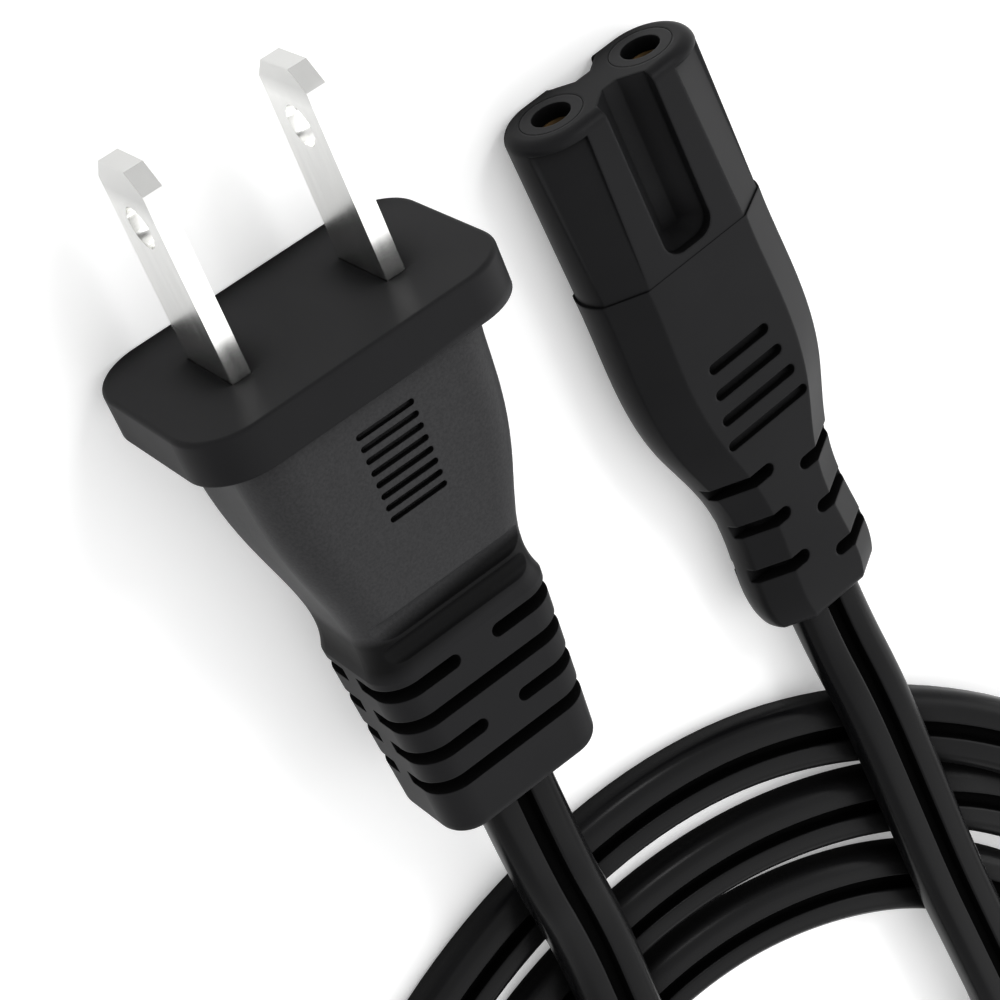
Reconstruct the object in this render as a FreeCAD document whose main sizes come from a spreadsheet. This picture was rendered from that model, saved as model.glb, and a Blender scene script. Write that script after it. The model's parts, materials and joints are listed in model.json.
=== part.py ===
"""Power cord with a figure-eight connector and a flat two-blade plug.

Frame: origin under the middle of the connector, +X from its left to its right socket,
+Y out of its mating face, +Z up. All lengths are in millimetres. Both mouldings are
drawn in a frame of their own: mating face at y = 0, body towards -Y, axis at z = 0.
"""
import FreeCAD, Part
import math
import os
import Sketcher
from FreeCAD import Placement, Rotation, Vector

# Driving dimensions: name and value.
SIZES = [
    # Connector: the part that enters the appliance, then grip, neck and boot.
    ("socket_pitch", 8.6),
    ("nose_width", 16.4),
    ("nose_depth", 7.7),
    ("nose_length", 14.4),
    ("nose_edge", 0.9),
    ("facet_low", 6.0),
    ("facet_high", 60.0),
    ("facet_slope", 2.2),
    ("grip_width", 17.0),
    ("grip_depth", 7.8),
    ("grip_front_width", 16.8),
    ("grip_length", 11.0),
    ("neck_width", 15.5),
    ("neck_depth", 7.7),
    ("neck_length", 9.8),
    ("neck_run", 5.0),
    ("boot_width", 12.4),
    ("boot_depth", 7.0),
    ("boot_length", 15.0),
    ("tail_width", 10.3),
    ("tail_depth", 6.2),
    ("tail_edge", 1.2),
    # Keyed slots along both broad sides of the connector.
    ("key_rim_width", 4.5),
    ("key_rim_depth", 0.85),
    ("key_length", 13.6),
    ("key_corner", 1.5),
    ("key_floor_width", 1.4),
    ("key_depth", 2.2),
    ("key_end_slope", 1.0),
    ("key_floor_corner", 0.4),
    # Finger grooves of the connector.
    ("finger_count", 4),
    ("finger_start", 23.5),
    ("finger_pitch", 2.27),
    ("finger_across", 0.95),
    ("finger_depth", 0.6),
    ("finger_first", 6.0),
    ("finger_growth", 0.72),
    # Windows of the flexible boot of the connector.
    ("window_count", 3),
    ("window_start", 34.5),
    ("window_pitch", 4.6),
    ("window_across", 1.25),
    ("window_depth", 1.3),
    ("window_spine", 2.2),
    ("window_stagger", 1.9),
    ("side_spine", 1.8),
    # Hard insert with the two socket noses.
    ("insert_ring", 4.84),
    ("insert_mouth", 3.06),
    ("insert_nose", 15.0),
    ("insert_block_width", 13.6),
    ("insert_block_length", 3.6),
    # Spring contacts: slit sleeve, bulkhead and crimp barrel.
    ("pin_bore", 2.46),
    ("sleeve_outside", 2.96),
    ("sleeve_recess", 1.2),
    ("sleeve_length", 10.6),
    ("sleeve_lead_in", 0.12),
    ("slit_across", 0.35),
    ("slit_length", 8.6),
    ("bulkhead", 0.9),
    ("crimp_outside", 3.0),
    ("crimp_bore", 1.8),
    ("crimp_length", 5.2),
    # Conductors inside both mouldings.
    ("core_outside", 2.8),
    ("core_pitch", 3.25),
    ("core_bend", 6.0),
    ("strand_bundle", 1.6),
    ("strand_length", 4.6),
    ("connector_core_straight", 16.0),
    ("plug_core_straight", 15.0),
    ("core_run_in", 2.5),
    # Plug: flange, grip, waist with its double valley, collar and boot.
    ("flange_width", 25.8),
    ("flange_depth", 17.8),
    ("flange_thick", 3.4),
    ("flange_corner", 4.4),
    ("flange_edge", 0.35),
    ("plug_front_width", 20.8),
    ("plug_front_depth", 15.0),
    ("plug_front_corner", 3.6),
    ("plug_front_length", 5.6),
    ("plug_grip_width", 19.8),
    ("plug_grip_depth", 14.0),
    ("plug_grip_corner", 3.4),
    ("plug_grip_length", 7.0),
    ("plug_rear_width", 17.4),
    ("plug_rear_depth", 12.6),
    ("plug_rear_corner", 3.0),
    ("plug_rear_length", 6.4),
    ("waist_width", 14.5),
    ("waist_depth", 10.6),
    ("waist_corner", 2.6),
    ("waist_length", 3.2),
    ("collar_width", 15.2),
    ("collar_depth", 10.9),
    ("collar_corner", 2.6),
    ("plug_boot_length", 15.7),
    ("plug_tail_width", 13.8),
    ("plug_tail_depth", 9.4),
    ("plug_tail_corner", 2.6),
    ("plug_tail_edge", 1.1),
    # Double valley across both broad sides of the waist.
    ("valley_radius", 1.0),
    ("valley_depth", 0.6),
    ("valley_ridge", 0.15),
    # Finger grooves of the plug.
    ("rib_count", 8),
    ("rib_start", 6.2),
    ("rib_pitch", 1.01),
    ("rib_across", 0.5),
    ("rib_depth", 0.4),
    ("rib_length", 4.8),
    # Windows of the flexible boot of the plug.
    ("vent_count", 4),
    ("vent_start", 1.2),
    ("vent_pitch", 3.12),
    ("vent_across", 1.2),
    ("vent_depth", 1.5),
    ("vent_spine", 2.9),
    # Blades and the bridge that holds them.
    ("blade_pitch", 12.7),
    ("blade_width", 6.35),
    ("blade_thick", 1.5),
    ("blade_length", 15.9),
    ("blade_tip", 3.6),
    ("blade_chamfer", 1.5),
    ("blade_hole", 3.1),
    ("blade_hole_place", 11.3),
    ("blade_root", 7.6),
    ("blade_tab_width", 3.0),
    ("blade_tab_length", 2.0),
    ("bridge_start", 2.2),
    ("bridge_length", 5.0),
    ("bridge_width", 17.6),
    ("bridge_depth", 9.4),
    ("bridge_corner", 1.0),
    # Flat twin cord and its coil on the floor.
    ("cord_width", 6.5),
    ("cord_thick", 3.25),
    ("coil_middle_x", -27.7),
    ("coil_middle_y", -80.7),
    ("coil_inner", 32.6),
    ("coil_outer", 48.5),
    ("coil_height", 3.35),
    # Cord straight out of each tail before its first bend.
    ("connector_exit_run", 4.6),
    ("plug_exit_run", 9.2),
    # Place of the plug: middle of its face and turn about the upright.
    ("plug_place_x", -29.53),
    ("plug_place_y", 27.5),
    ("plug_turn", -3.8),
    # Clearances.
    ("mould_clearance", 0.04),
    ("over_run", 2.0),
]

# Route of the cord between the connector and the coil, after its first bend.
CONNECTOR_LEAD = [
    (0.3, -36.8, 5.0),
    (0.9, -47.9, 5.05),
    (1.5, -58.4, 4.95),
    (3.9, -70.4, 1.75),
]

# Route of the cord between the plug and the coil, after its first bend.
PLUG_LEAD = [
    (-31.9, -34.6, 6.2),
    (-32.2, -43.9, 5.1),
    (-32.9, -52.9, 5.0),
    (-34.4, -66.9, 1.8),
    (-37.1, -94.2, 2.1),
    (-24.0, -111.7, 5.0),
    (-2.6, -115.7, 5.1),
    (15.9, -104.2, 5.1),
    (21.1, -85.0, 4.8),
    (19.6, -69.8, 1.75),
]


def make_sheet(doc):
    """Write the driving dimensions into a sheet, one alias for each."""
    sheet = doc.addObject("Spreadsheet::Sheet", "Sizes")
    for row, (name, size) in enumerate(SIZES, start=1):
        sheet.set(f"A{row}", name)
        sheet.set(f"B{row}", str(size))
        sheet.setAlias(f"B{row}", name)
    doc.recompute()
    return sheet


class Sizes:
    """Reads the sheet's values by name."""

    def __init__(self, sheet):
        self.sheet = sheet

    def __getattr__(self, name):
        return float(self.sheet.get(name))


def find_plane(body, role):
    """Return one of the body's own origin planes or axes."""
    return [item for item in body.Origin.OriginFeatures if item.Role == role][0]


def new_sketch(body, name, role, height="0"):
    """Start a sketch on an origin plane, moved along its normal."""
    sketch = body.newObject("Sketcher::SketchObject", name)
    sketch.AttachmentSupport = [(find_plane(body, role), "")]
    sketch.MapMode = "FlatFace"
    sketch.setExpression("AttachmentOffset.Base.z", height)
    return sketch


def bind(sketch, name, expression, kind, *where):
    """Add a dimension to a sketch and tie it to the sheet."""
    size = float(sketch.evalExpression(expression))
    index = sketch.addConstraint(Sketcher.Constraint(kind, *where, size))
    sketch.renameConstraint(index, name)
    sketch.setExpression(f"Constraints.{name}", expression)


def number(sketch, expression):
    """Return the present value of an expression."""
    return float(sketch.evalExpression(expression))


def draw_stadium(sketch, width, depth):
    """Two straight sides closed by two half circles, about the origin."""
    radius = number(sketch, f"({depth}) / 2")
    reach = number(sketch, f"({width}) / 2") - radius
    quarter = math.pi / 2
    up = Vector(0, 0, 1)
    right = Part.Circle(Vector(reach, 0, 0), up, radius)
    left = Part.Circle(Vector(-reach, 0, 0), up, radius)
    sketch.addGeometry([
        Part.LineSegment(Vector(-reach, radius, 0), Vector(reach, radius, 0)),
        Part.ArcOfCircle(right, -quarter, quarter),
        Part.LineSegment(Vector(reach, -radius, 0), Vector(-reach, -radius, 0)),
        Part.ArcOfCircle(left, quarter, 3 * quarter),
    ])
    rule = Sketcher.Constraint
    sketch.addConstraint([
        rule("Tangent", 0, 2, 1, 2),
        rule("Tangent", 1, 1, 2, 1),
        rule("Tangent", 2, 2, 3, 2),
        rule("Tangent", 3, 1, 0, 1),
        rule("Horizontal", 0),
        rule("Symmetric", 1, 3, 3, 3, -1, 1),
        rule("Equal", 1, 3),
    ])
    bind(sketch, "end_radius", f"({depth}) / 2", "Radius", 1)
    bind(sketch, "end_pitch", f"({width}) - ({depth})", "DistanceX", 3, 3, 1, 3)


def draw_faceted_stadium(sketch, width, depth):
    """Stadium whose four quarters are cut by flats, leaving a round strip at each side."""
    radius = number(sketch, f"({depth}) / 2")
    reach = number(sketch, f"({width}) / 2") - radius
    low = math.radians(number(sketch, "Sizes.facet_low"))
    high = math.radians(number(sketch, "Sizes.facet_high"))
    edge = reach + radius * math.sin(low)
    side = reach + radius * math.sin(high)
    rise = radius * math.cos(high)
    half = math.pi / 2 - high
    up = Vector(0, 0, 1)
    right = Part.Circle(Vector(reach, 0, 0), up, radius)
    left = Part.Circle(Vector(-reach, 0, 0), up, radius)
    sketch.addGeometry([
        Part.LineSegment(Vector(-edge, radius, 0), Vector(edge, radius, 0)),
        Part.LineSegment(Vector(edge, radius, 0), Vector(side, rise, 0)),
        Part.ArcOfCircle(right, -half, half),
        Part.LineSegment(Vector(side, -rise, 0), Vector(edge, -radius, 0)),
        Part.LineSegment(Vector(edge, -radius, 0), Vector(-edge, -radius, 0)),
        Part.LineSegment(Vector(-edge, -radius, 0), Vector(-side, -rise, 0)),
        Part.ArcOfCircle(left, math.pi - half, math.pi + half),
        Part.LineSegment(Vector(-side, rise, 0), Vector(-edge, radius, 0)),
    ])
    rule = Sketcher.Constraint
    sketch.addConstraint([
        rule("Coincident", 0, 2, 1, 1),
        rule("Coincident", 1, 2, 2, 2),
        rule("Coincident", 2, 1, 3, 1),
        rule("Coincident", 3, 2, 4, 1),
        rule("Coincident", 4, 2, 5, 1),
        rule("Coincident", 5, 2, 6, 2),
        rule("Coincident", 6, 1, 7, 1),
        rule("Coincident", 7, 2, 0, 1),
        rule("Equal", 2, 6),
        rule("Symmetric", 0, 1, 0, 2, -2),
        rule("Symmetric", 4, 1, 4, 2, -2),
        rule("Symmetric", 0, 2, 4, 1, -1),
        rule("Symmetric", 2, 1, 2, 2, -1),
        rule("Symmetric", 6, 1, 6, 2, -1),
    ])
    pitch = f"(({width}) - ({depth})) / 2"
    bind(sketch, "end_radius", f"({depth}) / 2", "Radius", 2)
    bind(sketch, "right_reach", pitch, "DistanceX", -1, 1, 2, 3)
    bind(sketch, "left_reach", pitch, "DistanceX", 6, 3, -1, 1)
    for name, arc, end in (("right_rise", 2, 2), ("left_rise", 6, 1)):
        bind(sketch, name, f"({depth}) / 2 * cos(Sizes.facet_high * 1deg)", "DistanceY",
             -1, 1, arc, end)
    bind(sketch, "edge_x", f"{pitch} + ({depth}) / 2 * sin(Sizes.facet_low * 1deg)", "DistanceX",
         -1, 1, 0, 2)
    bind(sketch, "edge_y", f"({depth}) / 2", "DistanceY", -1, 1, 0, 2)


def draw_rounded_rectangle(sketch, width, depth, corner):
    """Rectangle with four equal round corners, about the origin."""
    radius = number(sketch, corner)
    across = number(sketch, f"({width}) / 2") - radius
    tall = number(sketch, f"({depth}) / 2") - radius
    quarter = math.pi / 2
    up = Vector(0, 0, 1)
    middles = [Vector(across, tall, 0), Vector(-across, tall, 0),
               Vector(-across, -tall, 0), Vector(across, -tall, 0)]
    arcs = [Part.ArcOfCircle(Part.Circle(middle, up, radius), turn * quarter, (turn + 1) * quarter)
            for turn, middle in enumerate(middles)]
    sides = [Part.LineSegment(arcs[turn].EndPoint, arcs[(turn + 1) % 4].StartPoint)
             for turn in range(4)]
    sketch.addGeometry(arcs + sides)
    rule = Sketcher.Constraint
    for turn in range(4):
        sketch.addConstraint(rule("Tangent", turn, 2, turn + 4, 1))
        sketch.addConstraint(rule("Tangent", turn + 4, 2, (turn + 1) % 4, 1))
    sketch.addConstraint(rule("Horizontal", 4))
    sketch.addConstraint(rule("Vertical", 5))
    for turn in (1, 2):
        sketch.addConstraint(rule("Equal", 0, turn))
    sketch.addConstraint(rule("Symmetric", 0, 3, 2, 3, -1, 1))
    bind(sketch, "corner", corner, "Radius", 0)
    bind(sketch, "across", f"({width}) - 2 * ({corner})", "DistanceX", 1, 3, 0, 3)
    bind(sketch, "tall", f"({depth}) - 2 * ({corner})", "DistanceY", 3, 3, 0, 3)


def draw_circle(sketch, name, across, place_x, place_y="0"):
    """Circle of a given diameter at a given place."""
    middle = Vector(number(sketch, place_x), number(sketch, place_y), 0)
    radius = number(sketch, f"({across}) / 2")
    index = sketch.addGeometry(Part.Circle(middle, Vector(0, 0, 1), radius))
    bind(sketch, f"{name}_radius", f"({across}) / 2", "Radius", index)
    bind(sketch, f"{name}_x", place_x, "DistanceX", -1, 1, index, 3)
    bind(sketch, f"{name}_y", place_y, "DistanceY", -1, 1, index, 3)


def draw_outline(sketch, corners):
    """Closed outline of straight sides through corners given as expressions."""
    points = [Vector(number(sketch, x), number(sketch, y), 0) for x, y in corners]
    first = sketch.GeometryCount
    count = len(points)
    for turn in range(count):
        sketch.addGeometry(Part.LineSegment(points[turn], points[(turn + 1) % count]))
    for turn, (x, y) in enumerate(corners):
        here = first + turn
        after = first + (turn + 1) % count
        sketch.addConstraint(Sketcher.Constraint("Coincident", here, 2, after, 1))
        bind(sketch, f"x{here}", x, "DistanceX", -1, 1, here, 1)
        bind(sketch, f"y{here}", y, "DistanceY", -1, 1, here, 1)


def draw_bar(sketch, name, start, end, middle, across):
    """Slot outline along X with half-round ends, from start to end."""
    radius = number(sketch, f"({across}) / 2")
    left = number(sketch, start) + radius
    right = number(sketch, end) - radius
    height = number(sketch, middle)
    quarter = math.pi / 2
    up = Vector(0, 0, 1)
    first = sketch.GeometryCount
    low, far, top, near = range(first, first + 4)
    sketch.addGeometry([
        Part.LineSegment(Vector(left, height - radius, 0), Vector(right, height - radius, 0)),
        Part.ArcOfCircle(Part.Circle(Vector(right, height, 0), up, radius), -quarter, quarter),
        Part.LineSegment(Vector(right, height + radius, 0), Vector(left, height + radius, 0)),
        Part.ArcOfCircle(Part.Circle(Vector(left, height, 0), up, radius), quarter, 3 * quarter),
    ])
    rule = Sketcher.Constraint
    sketch.addConstraint([
        rule("Tangent", low, 2, far, 1),
        rule("Tangent", far, 2, top, 1),
        rule("Tangent", top, 2, near, 1),
        rule("Tangent", near, 2, low, 1),
        rule("Equal", far, near),
    ])
    bind(sketch, f"{name}_r", f"({across}) / 2", "Radius", near)
    bind(sketch, f"{name}_a", f"({start}) + ({across}) / 2", "DistanceX", -1, 1, near, 3)
    bind(sketch, f"{name}_b", f"({end}) - ({across}) / 2", "DistanceX", -1, 1, far, 3)
    bind(sketch, f"{name}_c", middle, "DistanceY", -1, 1, near, 3)
    bind(sketch, f"{name}_d", middle, "DistanceY", -1, 1, far, 3)


def draw_key(sketch, width, rear, corner):
    """Slot outline open past the face, with two round corners at its rear."""
    radius = number(sketch, corner)
    side = number(sketch, f"({width}) / 2")
    back = number(sketch, rear)
    front = number(sketch, "Sizes.over_run")
    quarter = math.pi / 2
    up = Vector(0, 0, 1)
    low_left = Part.Circle(Vector(radius - side, back + radius, 0), up, radius)
    low_right = Part.Circle(Vector(side - radius, back + radius, 0), up, radius)
    sketch.addGeometry([
        Part.LineSegment(Vector(-side, front, 0), Vector(-side, back + radius, 0)),
        Part.ArcOfCircle(low_left, 2 * quarter, 3 * quarter),
        Part.LineSegment(Vector(radius - side, back, 0), Vector(side - radius, back, 0)),
        Part.ArcOfCircle(low_right, 3 * quarter, 4 * quarter),
        Part.LineSegment(Vector(side, back + radius, 0), Vector(side, front, 0)),
        Part.LineSegment(Vector(side, front, 0), Vector(-side, front, 0)),
    ])
    rule = Sketcher.Constraint
    sketch.addConstraint([
        rule("Tangent", 0, 2, 1, 1),
        rule("Tangent", 1, 2, 2, 1),
        rule("Tangent", 2, 2, 3, 1),
        rule("Tangent", 3, 2, 4, 1),
        rule("Coincident", 4, 2, 5, 1),
        rule("Coincident", 5, 2, 0, 1),
        rule("Horizontal", 2),
        rule("Vertical", 0),
        rule("Vertical", 4),
        rule("Equal", 1, 3),
        rule("Symmetric", 0, 1, 4, 2, -2),
    ])
    bind(sketch, "corner", corner, "Radius", 1)
    bind(sketch, "width", width, "DistanceX", 0, 1, 4, 2)
    bind(sketch, "front", "Sizes.over_run", "DistanceY", -1, 1, 0, 1)
    bind(sketch, "rear", rear, "DistanceY", -1, 1, 2, 1)


def add_pad(body, name, sketch, length):
    """Add material along the sketch's normal."""
    pad = body.newObject("PartDesign::Pad", name)
    pad.Profile = sketch
    pad.setExpression("Length", length)
    return pad


def add_loft(body, name, sketches, ruled=False):
    """Add material through a row of sections."""
    loft = body.newObject("PartDesign::AdditiveLoft", name)
    loft.Profile = sketches[0]
    loft.Sections = sketches[1:]
    loft.Ruled = ruled
    return loft


def cut_through(body, name, sketch):
    """Cut everything on the side of a sketch that its normal points to."""
    pocket = body.newObject("PartDesign::Pocket", name)
    pocket.Profile = sketch
    pocket.Type = "ThroughAll"
    pocket.Reversed = True
    return pocket


def cut_both_ways(body, name, sketch):
    """Cut everything on both sides of a sketch."""
    pocket = body.newObject("PartDesign::Pocket", name)
    pocket.Profile = sketch
    pocket.Type = "ThroughAll"
    pocket.SideType = "Symmetric"
    return pocket


def add_mirror(body, name, features):
    """Repeat features on the other side of the body's XY plane."""
    mirror = body.newObject("PartDesign::Mirrored", name)
    mirror.Originals = features
    mirror.MirrorPlane = (find_plane(body, "XY_Plane"), [""])
    body.Tip = mirror
    return mirror


def round_edges_at(doc, body, name, base, place, radius):
    """Round the outer edges that lie in the plane y = place."""
    doc.recompute()
    chosen = []
    for index, edge in enumerate(base.Shape.Edges, start=1):
        box = edge.BoundBox
        if abs(box.YMin - place) < 0.01 and abs(box.YMax - place) < 0.01:
            chosen.append(f"Edge{index}")
    fillet = body.newObject("PartDesign::Fillet", name)
    fillet.Base = (base, chosen)
    fillet.setExpression("Radius", radius)
    return fillet


def tangent_arc(before, corner, after, radius):
    """Return the arc that rounds a corner, with its first and last point."""
    back = (before - corner).normalize()
    ahead = (after - corner).normalize()
    half = back.getAngle(ahead) / 2
    reach = radius / math.tan(half)
    start = corner + back * reach
    end = corner + ahead * reach
    middle = corner + (back + ahead).normalize() * (radius / math.sin(half))
    nearest = middle + (corner - middle).normalize() * radius
    return Part.Arc(start, nearest, end).toShape(), start, end


def rounded_path(points, radii):
    """Join straight runs by tangent arcs, one radius for each inner point."""
    edges = []
    here = points[0]
    for index, radius in enumerate(radii, start=1):
        arc, start, end = tangent_arc(points[index - 1], points[index], points[index + 1], radius)
        if (start - here).Length > 1e-6:
            edges.append(Part.LineSegment(here, start).toShape())
        edges.append(arc)
        here = end
    edges.append(Part.LineSegment(here, points[-1]).toShape())
    return Part.Wire(edges)


def widest_radii(points, share=0.45):
    """Give every inner point the largest arc that its two runs allow."""
    radii = []
    for before, corner, after in zip(points, points[1:], points[2:]):
        turn = math.pi - (before - corner).getAngle(after - corner)
        run = min((before - corner).Length, (after - corner).Length)
        radii.append(share * run / math.tan(turn / 2))
    return radii


def sweep_round(path, across):
    """Sweep a circle along a path."""
    start = path.OrderedVertexes[0].Point
    ahead = path.OrderedEdges[0].tangentAt(path.OrderedEdges[0].FirstParameter)
    circle = Part.Wire(Part.makeCircle(across / 2, start, ahead))
    return path.makePipeShell([circle], True, False)


def stadium_wire(width, thick, place, ahead):
    """Flat cord's section across the path, broad side up."""
    side = ahead.cross(Vector(0, 0, 1)).normalize()
    top = side.cross(ahead).normalize()
    radius = thick / 2
    reach = width / 2 - radius
    corners = [place + side * (reach * x) + top * (radius * y)
               for x, y in ((-1, 1), (1, 1), (1, -1), (-1, -1))]
    right = place + side * (width / 2)
    left = place - side * (width / 2)
    return Part.Wire([
        Part.LineSegment(corners[0], corners[1]).toShape(),
        Part.Arc(corners[1], right, corners[2]).toShape(),
        Part.LineSegment(corners[2], corners[3]).toShape(),
        Part.Arc(corners[3], left, corners[0]).toShape(),
    ])


def sweep_flat(path, width, thick):
    """Sweep the flat cord's section along a path, broad side up all the way."""
    start = path.OrderedVertexes[0].Point
    ahead = path.OrderedEdges[0].tangentAt(path.OrderedEdges[0].FirstParameter)
    maker = Part.BRepOffsetAPI.MakePipeShell(path)
    maker.setBiNormalMode(Vector(0, 0, 1))
    maker.add(stadium_wire(width, thick, start, ahead))
    maker.build()
    maker.makeSolid()
    return maker.shape()


def add_solid(doc, label, shape, placement=None):
    """Keep a computed shape as an object of the document."""
    item = doc.addObject("Part::Feature", label)
    item.Label = label
    item.Shape = shape
    if placement:
        item.Placement = placement
    return item


def core_points(length, straight, pitch, far_pitch, end, run_in, side):
    """Route of one core from the moulding's tail to its crimp barrel."""
    near = side * pitch / 2
    far = side * far_pitch / 2
    return [
        Vector(near, -length, 0),
        Vector(near, straight - length, 0),
        Vector(far, -end - run_in, 0),
        Vector(far, -end, 0),
    ]


def core_shape(points, bend, across):
    """Insulated core: straight, S-bend, straight."""
    radii = [min(bend, radius) for radius in widest_radii(points, 0.9)]
    return sweep_round(rounded_path(points, radii), across)


def rod(start, length, across, x=0.0):
    """Round rod along -Y that starts at a given distance behind the face."""
    return Part.makeCylinder(across / 2, length, Vector(x, -start, 0), Vector(0, -1, 0))


def connector_length(s):
    """Length of the connector from its face to the end of its boot."""
    return s.nose_length + s.grip_length + s.neck_length + s.boot_length


def plug_length(s):
    """Length of the plug's moulding from its face to the end of its boot."""
    front = s.flange_thick + s.plug_front_length + s.plug_grip_length + s.plug_rear_length
    return front + s.waist_length + s.plug_boot_length


def contact_end(s):
    """Distance from the connector's face to the end of a crimp barrel."""
    return s.sleeve_recess + s.sleeve_length + s.bulkhead + s.crimp_length


def blade_end(s):
    """Distance from the plug's face to the end of a blade's crimp barrel."""
    return s.blade_root + s.blade_tab_length + s.crimp_length


def make_connector_form(doc):
    """Outer form of the connector: nose, grip, neck and boot in one moulding."""
    body = doc.addObject("PartDesign::Body", "connector_form")
    nose = new_sketch(body, "nose_section", "XZ_Plane")
    draw_stadium(nose, "Sizes.nose_width", "Sizes.nose_depth")
    nose_pad = add_pad(body, "nose", nose, "Sizes.nose_length")
    face = round_edges_at(doc, body, "nose_rounding", nose_pad, 0, "Sizes.nose_edge")

    neck_end = "Sizes.nose_length + Sizes.grip_length + Sizes.neck_length"
    stations = [
        ("Sizes.nose_length", "Sizes.grip_front_width", "Sizes.grip_depth"),
        ("Sizes.nose_length + Sizes.grip_length / 2", "Sizes.grip_width", "Sizes.grip_depth"),
        ("Sizes.nose_length + Sizes.grip_length", "Sizes.grip_width", "Sizes.grip_depth"),
        (f"{neck_end} - Sizes.neck_run", "Sizes.neck_width", "Sizes.neck_depth"),
        (neck_end, "Sizes.boot_width", "Sizes.boot_depth"),
        (f"{neck_end} + Sizes.boot_length / 2", "(Sizes.boot_width + Sizes.tail_width) / 2",
         "(Sizes.boot_depth + Sizes.tail_depth) / 2"),
        (f"{neck_end} + Sizes.boot_length", "Sizes.tail_width", "Sizes.tail_depth"),
    ]
    sections = []
    for place, width, depth in stations:
        section = new_sketch(body, "grip_section", "XZ_Plane", place)
        draw_faceted_stadium(section, width, depth)
        sections.append(section)
    grip = add_loft(body, "grip_and_boot", sections)
    doc.recompute()
    length = connector_length(Sizes(doc.Sizes))
    round_edges_at(doc, body, "tail_rounding", grip, -length, "Sizes.tail_edge")
    return body, face


def cut_facets(body):
    """Sloping flats along both lobes of the nose that run out before its face."""
    sketch = new_sketch(body, "facet_outlines", "XZ_Plane", "Sizes.nose_length")
    radius = "Sizes.nose_depth / 2"
    reach = f"(Sizes.nose_width / 2 - {radius})"
    for side in ("1", "-1"):
        for level in ("1", "-1"):
            corners = []
            for angle in ("Sizes.facet_low", "Sizes.facet_high"):
                x = f"{side} * ({reach} + {radius} * sin({angle} * 1deg))"
                z = f"{level} * {radius} * cos({angle} * 1deg)"
                corners.append((x, z))
            above = f"{level} * ({radius} + Sizes.over_run)"
            beside = f"{side} * ({reach} + {radius} + Sizes.over_run)"
            draw_outline(sketch, [corners[0], corners[1], (beside, corners[1][1]),
                                  (beside, above), (corners[0][0], above)])
    pocket = body.newObject("PartDesign::Pocket", "facets")
    pocket.Profile = sketch
    pocket.setExpression("Length", "Sizes.nose_length - Sizes.nose_edge")
    pocket.setExpression("TaperAngle", "Sizes.facet_slope")
    return pocket


def cut_keys(body):
    """Two-stage keyed slot: upright rim walls above sloping walls and a narrow floor."""
    rim_floor = "Sizes.nose_depth / 2 - Sizes.key_rim_depth"
    floor = "Sizes.nose_depth / 2 - Sizes.key_depth"
    rim = new_sketch(body, "key_rim_outline", "XY_Plane", rim_floor)
    draw_key(rim, "Sizes.key_rim_width", "-Sizes.key_length", "Sizes.key_corner")
    rim_cut = cut_through(body, "key_rim", rim)
    upper = new_sketch(body, "key_slope_top", "XY_Plane", rim_floor)
    draw_key(upper, "Sizes.key_rim_width", "-Sizes.key_length", "Sizes.key_corner")
    lower = new_sketch(body, "key_slope_floor", "XY_Plane", floor)
    draw_key(lower, "Sizes.key_floor_width", "Sizes.key_end_slope - Sizes.key_length",
             "Sizes.key_floor_corner")
    slope = body.newObject("PartDesign::SubtractiveLoft", "key_slope")
    slope.Profile = upper
    slope.Sections = [lower]
    slope.Ruled = True
    return [rim_cut, slope]


def cut_fingers(body, count):
    """Finger grooves across the grip, each longer than the one before."""
    sketch = new_sketch(body, "finger_outlines", "XY_Plane", "Sizes.grip_depth / 2 - Sizes.finger_depth")
    for turn in range(count):
        reach = f"(Sizes.finger_first + {turn} * Sizes.finger_growth) / 2"
        middle = f"-Sizes.finger_start - {turn} * Sizes.finger_pitch"
        draw_bar(sketch, f"finger{turn}", f"-{reach}", reach, middle, "Sizes.finger_across")
    return cut_through(body, "fingers", sketch)


def cut_windows(body, count):
    """Windows round the connector's boot, staggered left and right."""
    sketch = new_sketch(body, "window_outlines", "XY_Plane", "Sizes.side_spine / 2")
    inner = "Sizes.window_spine / 2"
    outer = "Sizes.boot_width / 2 + Sizes.over_run"
    for turn in range(count):
        middle = f"-Sizes.window_start - {turn} * Sizes.window_pitch"
        later = f"{middle} - Sizes.window_stagger"
        draw_bar(sketch, f"left{turn}", f"-({outer})", f"-({inner})", middle, "Sizes.window_across")
        draw_bar(sketch, f"right{turn}", inner, outer, later, "Sizes.window_across")
    return cut_through(body, "windows", sketch)


def add_connector_core(body):
    """Solid middle of the boot, which the windows end on."""
    neck = "Sizes.nose_length + Sizes.grip_length"
    sections = []
    for place, width, depth in (
            (neck, "Sizes.boot_width", "Sizes.boot_depth"),
            (f"{neck} + Sizes.neck_length + Sizes.boot_length - Sizes.tail_edge",
             "Sizes.tail_width", "Sizes.tail_depth")):
        section = new_sketch(body, "boot_core_section", "XZ_Plane", place)
        draw_stadium(section, f"{width} - 2 * Sizes.window_depth", f"{depth} - 2 * Sizes.window_depth")
        sections.append(section)
    return add_loft(body, "boot_core", sections, ruled=True)


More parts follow.
